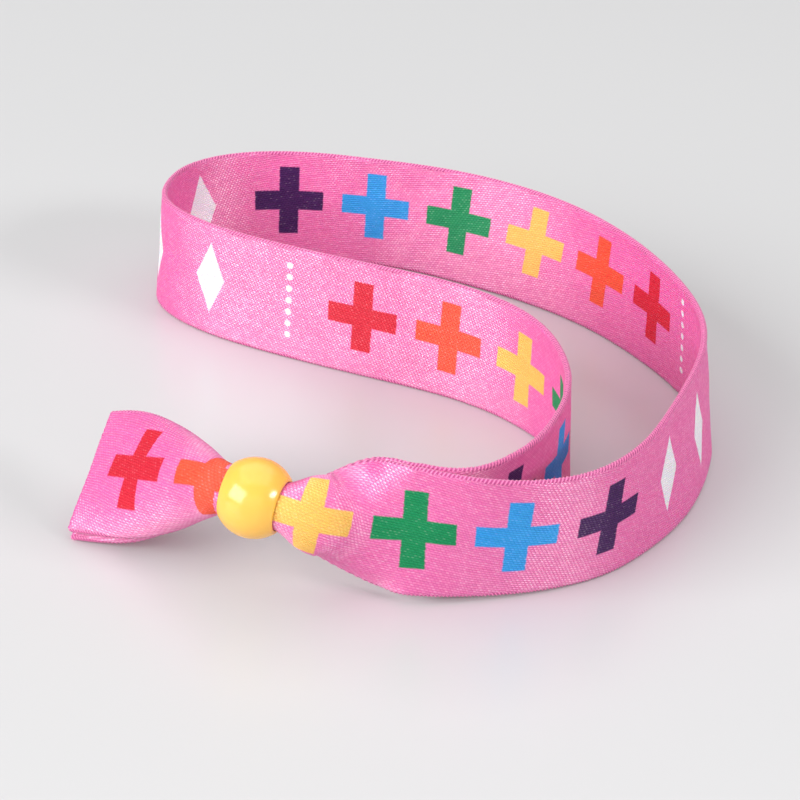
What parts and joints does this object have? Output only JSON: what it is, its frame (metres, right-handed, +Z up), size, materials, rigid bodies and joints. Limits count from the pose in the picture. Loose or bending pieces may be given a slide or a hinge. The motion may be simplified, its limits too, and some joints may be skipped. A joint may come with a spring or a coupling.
{
  "type": "ribbon wristband with a sliding bead",
  "caption": "Printed satin ribbon wristband, a loop whose two strands pass through a barrel bead and end in a short flared tail.",
  "frame": {"origin": "on the surface it stands on, under the centre of the whole wristband's box", "axes": "+Z up, across the ribbon's width; +Y from the bead's side towards the far end of the loop; +X to the right as the picture shows it"},
  "size_m": [0.0728, 0.0897, 0.0161],
  "materials": {
    "satin_ribbon": "printed polyester satin, pink with plus signs in six colours on both faces",
    "moulded_bead": "glossy yellow moulded plastic"
  },
  "bodies": {
    "root": {"ribbon": "satin_ribbon", "bead": "moulded_bead"}
  },
  "joints": []
}
